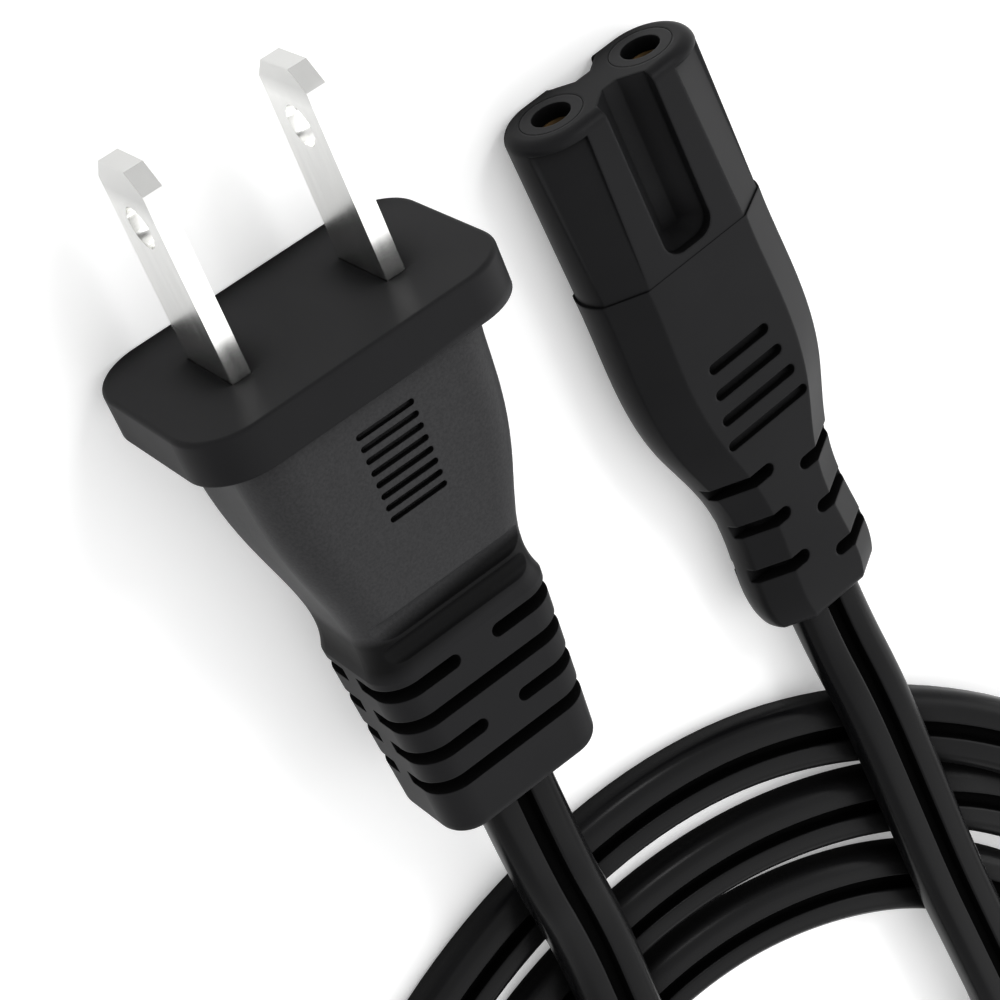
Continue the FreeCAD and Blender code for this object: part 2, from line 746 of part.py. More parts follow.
def make_insert(doc):
    """Hard insert: two socket noses in front of one block."""
    body = doc.addObject("PartDesign::Body", "connector_insert")
    block = new_sketch(body, "block_section", "XZ_Plane", "Sizes.insert_nose")
    draw_stadium(block, "Sizes.insert_block_width", "Sizes.insert_ring")
    add_pad(body, "block", block, "Sizes.insert_block_length")
    noses = new_sketch(body, "nose_circles", "XZ_Plane")
    for name, side in (("right", ""), ("left", "-")):
        draw_circle(noses, name, "Sizes.insert_ring", f"{side}Sizes.socket_pitch / 2")
    add_pad(body, "noses", noses, "Sizes.insert_nose")
    bores = new_sketch(body, "bore_circles", "XZ_Plane")
    for name, side in (("right", ""), ("left", "-")):
        draw_circle(bores, name, "Sizes.insert_mouth", f"{side}Sizes.socket_pitch / 2")
    cut_through(body, "bores", bores)
    return body


def make_contact(doc, name):
    """Slit spring sleeve, bulkhead and crimp barrel, turned from one profile."""
    body = doc.addObject("PartDesign::Body", name)
    profile = new_sketch(body, "contact_profile", "XY_Plane")
    front = "-Sizes.sleeve_recess"
    stop = "-Sizes.sleeve_recess - Sizes.sleeve_length"
    root = f"{stop} - Sizes.bulkhead"
    rear = f"{root} - Sizes.crimp_length"
    bore = "Sizes.pin_bore / 2"
    draw_outline(profile, [
        (f"{bore} + Sizes.sleeve_lead_in", front),
        ("Sizes.sleeve_outside / 2", front),
        ("Sizes.sleeve_outside / 2", stop),
        ("Sizes.crimp_outside / 2", root),
        ("Sizes.crimp_outside / 2", rear),
        ("Sizes.crimp_bore / 2", rear),
        ("Sizes.crimp_bore / 2", root),
        ("0", root),
        ("0", stop),
        (bore, stop),
        (bore, f"{front} - Sizes.sleeve_lead_in * 3"),
    ])
    turning = body.newObject("PartDesign::Revolution", "turning")
    turning.Profile = profile
    turning.ReferenceAxis = (profile, ["V_Axis"])
    turning.Angle = 360
    slit = new_sketch(body, "slit_outline", "XY_Plane")
    half = "Sizes.slit_across / 2"
    draw_outline(slit, [
        (f"-{half}", "0"),
        (half, "0"),
        (half, f"{front} - Sizes.slit_length"),
        (f"-{half}", f"{front} - Sizes.slit_length"),
    ])
    cut_through(body, "slit", slit)
    return body


def make_plug_form(doc):
    """Outer form of the plug: flange, grip, waist, collar and boot."""
    body = doc.addObject("PartDesign::Body", "plug_form")
    flange = new_sketch(body, "flange_section", "XZ_Plane")
    draw_rounded_rectangle(flange, "Sizes.flange_width", "Sizes.flange_depth", "Sizes.flange_corner")
    flange_pad = add_pad(body, "flange", flange, "Sizes.flange_thick")
    doc.recompute()
    round_edges_at(doc, body, "flange_rounding", flange_pad, 0, "Sizes.flange_edge")
    places = ["Sizes.flange_thick"]
    for run in ("plug_front", "plug_grip", "plug_rear", "waist", "plug_boot"):
        places.append(f"{places[-1]} + Sizes.{run}_length")
    names = ("plug_front", "plug_grip", "plug_rear", "waist", "collar", "plug_tail")
    sections = []
    for place, name in zip(places, names):
        section = new_sketch(body, f"{name}_section", "XZ_Plane", place)
        draw_rounded_rectangle(section, f"Sizes.{name}_width", f"Sizes.{name}_depth",
                               f"Sizes.{name}_corner")
        sections.append(section)
    add_loft(body, "grip", sections[:5])
    boot_start = new_sketch(body, "boot_section", "XZ_Plane", places[4])
    draw_rounded_rectangle(boot_start, "Sizes.collar_width", "Sizes.collar_depth", "Sizes.collar_corner")
    boot = add_loft(body, "boot", [boot_start, sections[5]], ruled=True)
    doc.recompute()
    length = plug_length(Sizes(doc.Sizes))
    round_edges_at(doc, body, "tail_rounding", boot, -length, "Sizes.plug_tail_edge")
    return body, places


def cut_valleys(body, places):
    """Two round-bottomed grooves with a ridge between, across the waist."""
    sketch = new_sketch(body, "valley_outlines", "YZ_Plane")
    height = "Sizes.waist_depth / 2 - Sizes.valley_depth + Sizes.valley_radius"
    for name, sign in (("front", "+"), ("rear", "-")):
        draw_circle(sketch, name, "2 * Sizes.valley_radius",
                    f"-({places[3]}) {sign} (Sizes.valley_radius + Sizes.valley_ridge / 2)", height)
    return cut_both_ways(body, "valleys", sketch)


def cut_ribs(body, places, count):
    """Thin finger grooves that follow the slope of the grip."""
    sketch = new_sketch(body, "rib_outlines", "XY_Plane",
                        "Sizes.plug_grip_depth / 2 - Sizes.rib_depth")
    sketch.setExpression("AttachmentOffset.Base.y", f"-({places[1]})")
    slope = "(Sizes.plug_grip_depth - Sizes.plug_rear_depth) / 2 / Sizes.plug_grip_length"
    sketch.AttachmentOffset = Placement(sketch.AttachmentOffset.Base, Rotation(Vector(1, 0, 0), 1))
    sketch.setExpression("AttachmentOffset.Rotation.Angle", f"atan({slope}) * 0.75")
    for turn in range(count):
        middle = f"{places[1]} - Sizes.rib_start - {turn} * Sizes.rib_pitch"
        draw_bar(sketch, f"rib{turn}", "-Sizes.rib_length / 2", "Sizes.rib_length / 2", middle,
                 "Sizes.rib_across")
    return cut_through(body, "ribs", sketch)


def cut_vents(body, places, count):
    """Windows round the plug's boot; every second level crosses the broad side."""
    sketch = new_sketch(body, "vent_outlines", "XY_Plane", "Sizes.side_spine / 2")
    inner = "Sizes.vent_spine / 2"
    outer = "Sizes.collar_width / 2 + Sizes.over_run"
    for turn in range(count):
        middle = f"-({places[4]}) - Sizes.vent_start - {turn} * Sizes.vent_pitch"
        if turn % 2:
            draw_bar(sketch, f"vent{turn}", f"-({outer})", outer, middle, "Sizes.vent_across")
        else:
            draw_bar(sketch, f"right{turn}", inner, outer, middle, "Sizes.vent_across")
            draw_bar(sketch, f"left{turn}", f"-({outer})", f"-({inner})", middle, "Sizes.vent_across")
    return cut_through(body, "vents", sketch)


def add_plug_core(body, places):
    """Solid middle of the plug's boot, which the windows end on."""
    sections = []
    for place, name in ((places[4], "collar"), (f"{places[5]} - Sizes.plug_tail_edge", "plug_tail")):
        section = new_sketch(body, "boot_core_section", "XZ_Plane", place)
        draw_rounded_rectangle(section, f"Sizes.{name}_width - 2 * Sizes.vent_depth",
                               f"Sizes.{name}_depth - 2 * Sizes.vent_depth",
                               f"Sizes.{name}_corner - Sizes.vent_depth / 2")
        sections.append(section)
    return add_loft(body, "boot_core", sections, ruled=True)


def make_blade(doc, name):
    """Flat blade with a chamfered tip, a round hole and a crimp barrel at its root."""
    body = doc.addObject("PartDesign::Body", name)
    outline = new_sketch(body, "blade_outline", "YZ_Plane")
    side = "Sizes.blade_width / 2"
    tip = "Sizes.blade_tip / 2"
    tab = "Sizes.blade_tab_width / 2"
    draw_outline(outline, [
        ("Sizes.blade_length", f"-{tip}"),
        ("Sizes.blade_length", tip),
        ("Sizes.blade_length - Sizes.blade_chamfer", side),
        ("-Sizes.blade_root", side),
        ("-Sizes.blade_root", tab),
        ("-Sizes.blade_root - Sizes.blade_tab_length", tab),
        ("-Sizes.blade_root - Sizes.blade_tab_length", f"-{tab}"),
        ("-Sizes.blade_root", f"-{tab}"),
        ("-Sizes.blade_root", f"-{side}"),
        ("Sizes.blade_length - Sizes.blade_chamfer", f"-{side}"),
    ])
    plate = add_pad(body, "plate", outline, "Sizes.blade_thick")
    plate.SideType = "Symmetric"
    hole = new_sketch(body, "hole_circle", "YZ_Plane")
    draw_circle(hole, "hole", "Sizes.blade_hole", "Sizes.blade_hole_place")
    cut_both_ways(body, "hole", hole)
    barrel = new_sketch(body, "barrel_circle", "XZ_Plane",
                        "Sizes.blade_root + Sizes.blade_tab_length")
    draw_circle(barrel, "barrel", "Sizes.crimp_outside", "0")
    add_pad(body, "barrel", barrel, "Sizes.crimp_length")
    bore = new_sketch(body, "bore_circle", "XZ_Plane",
                      "Sizes.blade_root + Sizes.blade_tab_length + Sizes.bulkhead / 2")
    draw_circle(bore, "bore", "Sizes.crimp_bore", "0")
    cut_through(body, "bore", bore)
    return body


def make_bridge(doc):
    """Hard block that holds both blades at their spacing."""
    body = doc.addObject("PartDesign::Body", "plug_bridge")
    section = new_sketch(body, "bridge_section", "XZ_Plane", "Sizes.bridge_start")
    draw_rounded_rectangle(section, "Sizes.bridge_width", "Sizes.bridge_depth", "Sizes.bridge_corner")
    add_pad(body, "block", section, "Sizes.bridge_length")
    slots = new_sketch(body, "blade_slots", "XZ_Plane")
    for side in ("1", "-1"):
        middle = f"{side} * Sizes.blade_pitch / 2"
        across = "(Sizes.blade_thick / 2 + Sizes.mould_clearance)"
        tall = "(Sizes.blade_width / 2 + Sizes.mould_clearance)"
        draw_outline(slots, [
            (f"{middle} - {across}", f"-{tall}"),
            (f"{middle} + {across}", f"-{tall}"),
            (f"{middle} + {across}", tall),
            (f"{middle} - {across}", tall),
        ])
    cut_through(body, "slots", slots)
    return body


def connector_hollow(s):
    """Space in the connector's moulding for the insert, the contacts and the cores."""
    gap = s.mould_clearance
    pieces = []
    for side in (1, -1):
        x = side * s.socket_pitch / 2
        pieces.append(rod(-s.over_run, s.over_run + s.insert_nose, s.insert_ring + 2 * gap, x))
        pieces.append(rod(s.insert_nose, contact_end(s) - s.insert_nose + gap,
                          s.crimp_outside + 2 * gap, x))
        points = core_points(connector_length(s) + s.over_run, s.connector_core_straight + s.over_run,
                             s.core_pitch, s.socket_pitch, contact_end(s), s.core_run_in, side)
        pieces.append(core_shape(points, s.core_bend, s.core_outside + 2 * gap))
    radius = s.insert_ring / 2 + gap
    reach = s.insert_block_width / 2 - s.insert_ring / 2
    block = Part.makeBox(2 * reach, s.insert_block_length + gap, 2 * radius,
                         Vector(-reach, -s.insert_nose - s.insert_block_length - gap, -radius))
    pieces.append(block)
    for side in (1, -1):
        pieces.append(rod(s.insert_nose, s.insert_block_length + gap, 2 * radius, side * reach))
    return pieces[0].multiFuse(pieces[1:]).removeSplitter()


def plug_hollow(s):
    """Space in the plug's moulding for the bridge, the blades and the cores."""
    gap = s.mould_clearance
    pieces = []
    for side in (1, -1):
        x = side * s.blade_pitch / 2
        pieces.append(Part.makeBox(
            s.blade_thick + 2 * gap, s.over_run + s.blade_root + gap, s.blade_width + 2 * gap,
            Vector(x - s.blade_thick / 2 - gap, -s.blade_root - gap, -s.blade_width / 2 - gap)))
        pieces.append(Part.makeBox(
            s.blade_thick + 2 * gap, s.blade_tab_length + gap, s.blade_tab_width + 2 * gap,
            Vector(x - s.blade_thick / 2 - gap, -s.blade_root - s.blade_tab_length - gap,
                   -s.blade_tab_width / 2 - gap)))
        pieces.append(rod(s.blade_root + s.blade_tab_length - gap, s.crimp_length + 2 * gap,
                          s.crimp_outside + 2 * gap, x))
        points = core_points(plug_length(s) + s.over_run, s.plug_core_straight + s.over_run,
                             s.core_pitch, s.blade_pitch, blade_end(s), s.core_run_in, side)
        pieces.append(core_shape(points, s.core_bend, s.core_outside + 2 * gap))
    block = Part.makeBox(s.bridge_width + 2 * gap, s.bridge_length + 2 * gap, s.bridge_depth + 2 * gap,
                         Vector(-s.bridge_width / 2 - gap, -s.bridge_start - s.bridge_length - gap,
                                -s.bridge_depth / 2 - gap))
    upright = [edge for edge in block.Edges
               if edge.BoundBox.YLength > s.bridge_length]
    pieces.append(block.makeFillet(s.bridge_corner + gap, upright))
    return pieces[0].multiFuse(pieces[1:]).removeSplitter()


def make_overmould(doc, label, form, hollow, placement):
    """Outer form less the space for the pieces moulded in."""
    tool = add_solid(doc, f"{label}_hollow", hollow)
    result = doc.addObject("Part::Cut", label)
    result.Label = label
    result.Base = form
    result.Tool = tool
    result.Placement = placement
    return result


def make_connector(doc, s, placement):
    """All pieces of the connector, in its own frame, moved to its place."""
    form, _ = make_connector_form(doc)
    cut_facets(form)
    features = cut_keys(form)
    features.append(cut_fingers(form, int(s.finger_count)))
    features.append(cut_windows(form, int(s.window_count)))
    add_mirror(form, "other_side", features)
    add_connector_core(form)
    doc.recompute()
    parts = [make_overmould(doc, "connector_overmould", form, connector_hollow(s), placement)]
    insert = make_insert(doc)
    insert.Placement = placement
    parts.append(insert)
    for name, side in (("left", -1), ("right", 1)):
        x = side * s.socket_pitch / 2
        contact = make_contact(doc, f"contact_{name}")
        contact.Placement = placement.multiply(Placement(Vector(x, 0, 0), Rotation()))
        parts.append(contact)
        points = core_points(connector_length(s), s.connector_core_straight, s.core_pitch,
                             s.socket_pitch, contact_end(s), s.core_run_in, side)
        core = core_shape(points, s.core_bend, s.core_outside)
        parts.append(add_solid(doc, f"connector_core_{name}", core, placement))
        strands = rod(contact_end(s) - s.strand_length, s.strand_length, s.strand_bundle, x)
        parts.append(add_solid(doc, f"connector_strands_{name}", strands, placement))
    return parts


def make_plug(doc, s, placement):
    """All pieces of the plug, in its own frame, moved to its place."""
    form, places = make_plug_form(doc)
    features = [
        cut_valleys(form, places),
        cut_ribs(form, places, int(s.rib_count)),
        cut_vents(form, places, int(s.vent_count)),
    ]
    add_mirror(form, "other_side", features)
    add_plug_core(form, places)
    doc.recompute()
    parts = [make_overmould(doc, "plug_overmould", form, plug_hollow(s), placement)]
    bridge = make_bridge(doc)
    bridge.Placement = placement
    parts.append(bridge)
    for name, side in (("left", -1), ("right", 1)):
        x = side * s.blade_pitch / 2
        blade = make_blade(doc, f"blade_{name}")
        blade.Placement = placement.multiply(Placement(Vector(x, 0, 0), Rotation()))
        parts.append(blade)
        points = core_points(plug_length(s), s.plug_core_straight, s.core_pitch,
                             s.blade_pitch, blade_end(s), s.core_run_in, side)
        core = core_shape(points, s.core_bend, s.core_outside)
        parts.append(add_solid(doc, f"plug_core_{name}", core, placement))
        strands = rod(blade_end(s) - s.strand_length, s.strand_length, s.strand_bundle, x)
        parts.append(add_solid(doc, f"plug_strands_{name}", strands, placement))
    return parts


def make_lead(doc, s, label, placement, length, exit_run, route):
    """Flat cord from a moulding's tail along straight runs joined by tangent arcs."""
    points = [placement.multVec(Vector(0, -length, 0)),
              placement.multVec(Vector(0, -length - exit_run, 0))]
    points += [Vector(*point) for point in route]
    radii = widest_radii(points)
    path = rounded_path(points, radii)
    lead = sweep_flat(path, s.cord_width, s.cord_thick)
    radius = s.cord_thick / 2
    section = (s.cord_width - s.cord_thick) * s.cord_thick + math.pi * radius * radius
    print(label, "length", round(path.Length, 1), "volume over section times length",
          round(lead.Volume / (section * path.Length), 4),
          "radii", [round(radius, 1) for radius in radii])
    return add_solid(doc, label, lead)


def make_coil(doc, s):
    """Outer shape of the three flat turns on the floor."""
    middle = Vector(s.coil_middle_x, s.coil_middle_y, 0)
    outer = Part.makeCylinder(s.coil_outer + s.cord_width / 2, s.coil_height, middle)
    inner = Part.makeCylinder(s.coil_inner - s.cord_width / 2, s.coil_height, middle)
    return add_solid(doc, "cord_coil", outer.cut(inner))


def check_document(doc, parts):
    """Stop before anything is written if a feature failed or a shape is unsound."""
    failed = [item.Label for item in doc.Objects
              if "Invalid" in item.State or "Error" in item.State]
    if failed:
        raise RuntimeError(f"failed features: {failed}")
    for part in parts:
        shape = part.Shape
        if shape.isNull() or not shape.isValid() or len(shape.Solids) != 1:
            raise RuntimeError(f"unsound shape: {part.Label} {len(shape.Solids)}")


def main():
    """Build the document and write one file for each sub-part."""
    doc = FreeCAD.newDocument("power_cord")
    s = Sizes(make_sheet(doc))
    connector_place = Placement(Vector(0, connector_length(s) / 2, s.grip_depth / 2), Rotation())
    plug_place = Placement(Vector(s.plug_place_x, s.plug_place_y, s.flange_depth / 2),
                           Rotation(Vector(0, 0, 1), s.plug_turn))
    parts = make_connector(doc, s, connector_place)
    parts += make_plug(doc, s, plug_place)
    parts.append(make_lead(doc, s, "cord_connector_lead", connector_place, connector_length(s),
                           s.connector_exit_run, CONNECTOR_LEAD))
    parts.append(make_coil(doc, s))
    parts.append(make_lead(doc, s, "cord_plug_lead", plug_place, plug_length(s),
                           s.plug_exit_run, PLUG_LEAD))
    doc.recompute()
    check_document(doc, parts)
    os.makedirs("parts", exist_ok=True)
    for part in parts:
        part.Shape.exportStep(f"parts/{part.Label}.step")
    print(len(parts), "parts written")


main()
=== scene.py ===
"""Looks of a figure-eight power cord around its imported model: cord, finishes, light and camera.

Everything is in metres in the row's frame, apart from the values that are said to be in
millimetres. The origin is under the middle of the connector, +X runs from its left to its
right socket, +Y out of its mating face and +Z up.
"""

import json
import logging
import math
from collections.abc import Iterable
from dataclasses import dataclass
from typing import Any, ClassVar

import bmesh
import bpy
from mathutils import Matrix, Vector

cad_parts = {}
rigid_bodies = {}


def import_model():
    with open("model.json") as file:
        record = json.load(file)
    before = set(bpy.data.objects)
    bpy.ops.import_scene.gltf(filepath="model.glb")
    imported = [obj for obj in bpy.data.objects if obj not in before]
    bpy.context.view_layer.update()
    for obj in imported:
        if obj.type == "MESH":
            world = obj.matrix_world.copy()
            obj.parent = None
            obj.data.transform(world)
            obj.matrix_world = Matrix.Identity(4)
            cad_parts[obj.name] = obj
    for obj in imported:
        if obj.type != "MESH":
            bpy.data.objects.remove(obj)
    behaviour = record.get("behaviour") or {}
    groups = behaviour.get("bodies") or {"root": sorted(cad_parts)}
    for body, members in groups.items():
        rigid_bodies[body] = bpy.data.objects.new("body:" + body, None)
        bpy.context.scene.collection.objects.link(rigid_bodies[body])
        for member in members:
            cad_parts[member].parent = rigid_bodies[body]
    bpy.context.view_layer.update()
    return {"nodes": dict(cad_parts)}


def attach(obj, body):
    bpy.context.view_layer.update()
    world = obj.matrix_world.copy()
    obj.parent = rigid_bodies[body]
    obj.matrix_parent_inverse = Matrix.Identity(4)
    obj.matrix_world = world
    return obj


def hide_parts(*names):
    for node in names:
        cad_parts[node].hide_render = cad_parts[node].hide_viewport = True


Pair = tuple[float, float]
Point = tuple[float, float, float]

LOG = logging.getLogger("power_cord")
MM = 0.001
# Nearly all of a noise pattern lies between these two values.
NOISE_LOW, NOISE_HIGH = 0.3, 0.7


def linear(colour: str) -> tuple[float, float, float, float]:
    """Turn an sRGB hex colour into a linear one.

    Args:
        colour: Six hex digits after a hash.

    Returns:
        Red, green, blue and an alpha of 1, all linear.
    """
    parts = [int(colour[i : i + 2], 16) / 255 for i in (1, 3, 5)]
    return tuple(
        p / 12.92 if p <= 0.04045 else ((p + 0.055) / 1.055) ** 2.4 for p in parts
    ) + (1.0,)


def shaded(colour: str, share: float) -> list[float]:
    """Make an sRGB colour darker or lighter.

    Args:
        colour: Six hex digits after a hash.
        share: Share of its light that is left, over 1 for a lighter colour.

    Returns:
        Red, green, blue and an alpha of 1, all linear.
    """
    return [min(part * share, 1.0) for part in linear(colour)[:3]] + [1.0]


def add_node(
    tree: bpy.types.NodeTree,
    kind: str,
    links: Iterable[tuple[str | int, bpy.types.NodeSocket]] = (),
    **settings: Any,
) -> bpy.types.Node:
    """Add one shader node with its settings and incoming links.

    Args:
        tree: Node tree that gets the node.
        kind: Node type without its "ShaderNode" prefix.
        links: Pairs of an input's name or number and the socket that feeds it.
        **settings: Node attributes, or values of inputs whose names have spaces for underscores.

    Returns:
        The new node.
    """
    node = tree.nodes.new("ShaderNode" + kind)
    for name, value in settings.items():
        socket = node.inputs.get(name.replace("_", " ")) if not hasattr(node, name) else None
        if socket is None:
            setattr(node, name, value)
        else:
            socket.default_value = value
    for target, source in links:
        tree.links.new(source, node.inputs[target])
    return node


def looked_at(tree: bpy.types.NodeTree) -> bpy.types.NodeSocket:
    """Tell rays that show a surface from rays that light one.

    Args:
        tree: Node tree that gets the nodes.

    Returns:
        The socket with 1 for camera, glossy and transmission rays and 0 for others.
    """
    path = add_node(tree, "LightPath")
    shown = path.outputs["Is Camera Ray"]
    for kind in ("Is Glossy Ray", "Is Transmission Ray"):
        both = add_node(
            tree,
            "Math",
            [(0, shown), (1, path.outputs[kind])],
            operation="ADD",
            use_clamp=True,
        )
        shown = both.outputs[0]
    return shown


def add_tint(
    tree: bpy.types.NodeTree, colour: str, spread: float, pattern: bpy.types.NodeSocket
) -> bpy.types.NodeSocket:
    """Vary a colour a little with a pattern.

    Args:
        tree: Node tree that gets the node.
        colour: sRGB colour in the middle of the range.
        spread: Share by which the colour goes up and down.
        pattern: Socket with the pattern, from 0 to 1.

    Returns:
        The socket with the varied colour.
    """
    tint = add_node(tree, "ValToRGB", [("Fac", pattern)])
    darkest, palest = tint.color_ramp.elements
    darkest.position, darkest.color = NOISE_LOW, shaded(colour, 1 - spread)
    palest.position, palest.color = NOISE_HIGH, shaded(colour, 1 + spread)
    return tint.outputs["Color"]


def add_band(
    tree: bpy.types.NodeTree, place: bpy.types.NodeSocket, reach: Pair, fade: float
) -> bpy.types.NodeSocket:
    """Mark a band across a part, with a soft start and end.

    Args:
        tree: Node tree that gets the nodes.
        place: Socket with the place on the part.
        reach: Lowest and highest Y of the band in millimetres.
        fade: Length of its soft start and end in millimetres.

    Returns:
        The socket with 0 outside the band and 1 inside it.
    """
    low, high = reach
    along = add_node(tree, "SeparateXYZ", [("Vector", place)])
    rise, fall = (
        add_node(
            tree,
            "MapRange",
            [("Value", along.outputs["Y"])],
            From_Min=start * MM,
            From_Max=end * MM,
        )
        for start, end in ((low, low + fade), (high, high - fade))
    )
    both = add_node(
        tree,
        "Math",
        [(0, rise.outputs["Result"]), (1, fall.outputs["Result"])],
        operation="MULTIPLY",
    )
    return both.outputs[0]


@dataclass(frozen=True)
class Plastic:
    """Black plastic as it comes out of its mould or die, with painted shade in its hollows.

    Attributes:
        name: Name of the material.
        colour: sRGB colour of the plastic.
        roughness: Mean roughness of the skin.
        relief: Depth of the mould's grain in millimetres.
        grain: Size of that grain in millimetres.
        edge: Radius by which sharp edges are softened, in millimetres.
        specular: Specular level of the plastic.
        grained: Lowest and highest Y of the grained skin in millimetres, or none for all of it.
        grained_colour: sRGB colour of the grained skin, or none where it is the same.
        painted_shade: Lowest and highest Y of a band of painted shade across a valley, in
            millimetres, or none.
        patch: Size of the patches of paler and duller skin in millimetres.
        patch_gloss: How much the roughness goes up and down over those patches.
        patch_spread: Share by which their colour goes up and down.
        grain_spread: Share by which the grained skin's colour goes up and down.
        grain_fade: Length over which the grained skin starts and ends, in millimetres.
        painted_shade_fade: Length over which the painted shade starts and ends, in millimetres.
        painted_shade_share: Share of its light that the colour keeps under the painted shade.
        hollow_shade_share: Share of its light that the colour keeps deep in a hollow, under painted
            shade.
        hollow_reach: How far the walls of a hollow are looked for, in millimetres.
        hollow_open: Openness of a deep hollow and of open skin.
        crease: Angle in degrees from which an edge stays sharp.
    """

    name: str
    colour: str
    roughness: float
    relief: float
    grain: float = 0.35
    edge: float = 0.18
    specular: float = 0.05
    grained: Pair | None = None
    grained_colour: str | None = None
    painted_shade: Pair | None = None
    patch: float = 11.0
    patch_gloss: float = 0.05
    patch_spread: float = 0.12
    grain_spread: float = 0.16
    grain_fade: float = 0.6
    painted_shade_fade: float = 0.9
    painted_shade_share: float = 0.25
    hollow_shade_share: float = 0.05
    hollow_reach: float = 4.0
    hollow_open: Pair = (0.46, 0.86)
    crease: float = 24.0

    def build(self) -> bpy.types.Material:
        """Build the material.

        Returns:
            The new material.
        """
        material = bpy.data.materials.new(self.name)
        material.use_nodes = True
        tree = material.node_tree
        shader = tree.nodes["Principled BSDF"]
        shader.inputs["Specular IOR Level"].default_value = self.specular
        place = add_node(tree, "TexCoord").outputs["Object"]
        patches = add_node(
            tree, "TexNoise", [("Vector", place)], Scale=1 / (self.patch * MM), Detail=3.0
        ).outputs["Fac"]
        grain = add_node(
            tree,
            "TexNoise",
            [("Vector", place)],
            Scale=1 / (self.grain * MM),
            Detail=2.0,
            Roughness=0.6,
        ).outputs["Fac"]
        share = add_band(tree, place, self.grained, self.grain_fade) if self.grained else None
        open_share = self._open_share(tree)
        tint = add_tint(tree, self.colour, self.patch_spread, patches)
        if share is not None:
            tint = self._add_grained(tree, tint, share, grain)
        # Painted shade: a dark band across the valley.
        if self.painted_shade:
            tint = self._add_painted_shade(tree, tint, place)
        # Painted shade: the colour darkens deep in the hollows.
        tint = self._add_hollow_shade(tree, tint, open_share)
        tree.links.new(tint, shader.inputs["Base Color"])
        gloss = self._roughness(tree, patches, open_share)
        tree.links.new(gloss, shader.inputs["Roughness"])
        tree.links.new(self._normal(tree, grain, share), shader.inputs["Normal"])
        return material

    def _open_share(self, tree: bpy.types.NodeTree) -> bpy.types.NodeSocket:
        """Find how open a place lies, so that painted shade darkens the hollows and they look dull.

        Args:
            tree: Node tree that gets the nodes.

        Returns:
            The socket with 0 deep in a hollow and 1 on the open skin.
        """
        deep, clear = self.hollow_open
        hollow = add_node(tree, "AmbientOcclusion", samples=6, Distance=self.hollow_reach * MM)
        share = add_node(
            tree, "MapRange", [("Value", hollow.outputs["AO"])], From_Min=deep, From_Max=clear
        )
        return share.outputs["Result"]

    def _add_grained(
        self,
        tree: bpy.types.NodeTree,
        tint: bpy.types.NodeSocket,
        share: bpy.types.NodeSocket,
        grain: bpy.types.NodeSocket,
    ) -> bpy.types.NodeSocket:
        """Lay the grained skin's speckled colour over the plain one.

        Args:
            tree: Node tree that gets the nodes.
            tint: Socket with the colour so far.
            share: Socket with 1 on the grained skin and 0 elsewhere.
            grain: Socket with the pattern of the grain.

        Returns:
            The socket with the new colour.
        """
        paler = add_tint(tree, self.grained_colour or self.colour, self.grain_spread, grain)
        mix = add_node(tree, "MixRGB", [("Fac", share), ("Color1", tint), ("Color2", paler)])
        return mix.outputs["Color"]

    def _add_painted_shade(
        self, tree: bpy.types.NodeTree, tint: bpy.types.NodeSocket, place: bpy.types.NodeSocket
    ) -> bpy.types.NodeSocket:
        """Paint shade into the colour across the valley.

        Args:
            tree: Node tree that gets the nodes.
            tint: Socket with the colour so far.
            place: Socket with the place on the part.

        Returns:
            The socket with the new colour.
        """
        share = add_band(tree, place, self.painted_shade, self.painted_shade_fade)
        mix = add_node(
            tree,
            "MixRGB",
            [("Fac", share), ("Color1", tint)],
            Color2=shaded(self.colour, self.painted_shade_share),
        )
        return mix.outputs["Color"]

    def _add_hollow_shade(
        self, tree: bpy.types.NodeTree, tint: bpy.types.NodeSocket, open_share: bpy.types.NodeSocket
    ) -> bpy.types.NodeSocket:
        """Paint shade into the colour in the hollows.

        Args:
            tree: Node tree that gets the nodes.
            tint: Socket with the colour so far.
            open_share: Socket with 0 deep in a hollow and 1 on the open skin.

        Returns:
            The socket with the new colour.
        """
        mix = add_node(
            tree,
            "MixRGB",
            [("Fac", open_share), ("Color2", tint)],
            Color1=shaded(self.colour, self.hollow_shade_share),
        )
        return mix.outputs["Color"]

    def _roughness(
        self,
        tree: bpy.types.NodeTree,
        patches: bpy.types.NodeSocket,
        open_share: bpy.types.NodeSocket,
    ) -> bpy.types.NodeSocket:
        """Vary the roughness over the skin, up to fully rough deep in the hollows.

        Args:
            tree: Node tree that gets the nodes.
            patches: Socket with the pattern of the patches.
            open_share: Socket with 0 deep in a hollow and 1 on the open skin.

        Returns:
            The socket with the roughness.
        """
        skin = add_node(
            tree,
            "MapRange",
            [("Value", patches)],
            From_Min=NOISE_LOW,
            From_Max=NOISE_HIGH,
            To_Min=self.roughness - self.patch_gloss,
            To_Max=self.roughness + self.patch_gloss,
        )
        on_skin = add_node(
            tree,
            "Math",
            [(0, skin.outputs["Result"]), (1, open_share)],
            operation="MULTIPLY",
        )
        in_hollow = add_node(
            tree, "Math", [(1, open_share)], operation="SUBTRACT", use_clamp=True, Value=1.0
        )
        both = add_node(
            tree,
            "Math",
            [(0, on_skin.outputs[0]), (1, in_hollow.outputs[0])],
            operation="ADD",
            use_clamp=True,
        )
        return both.outputs[0]

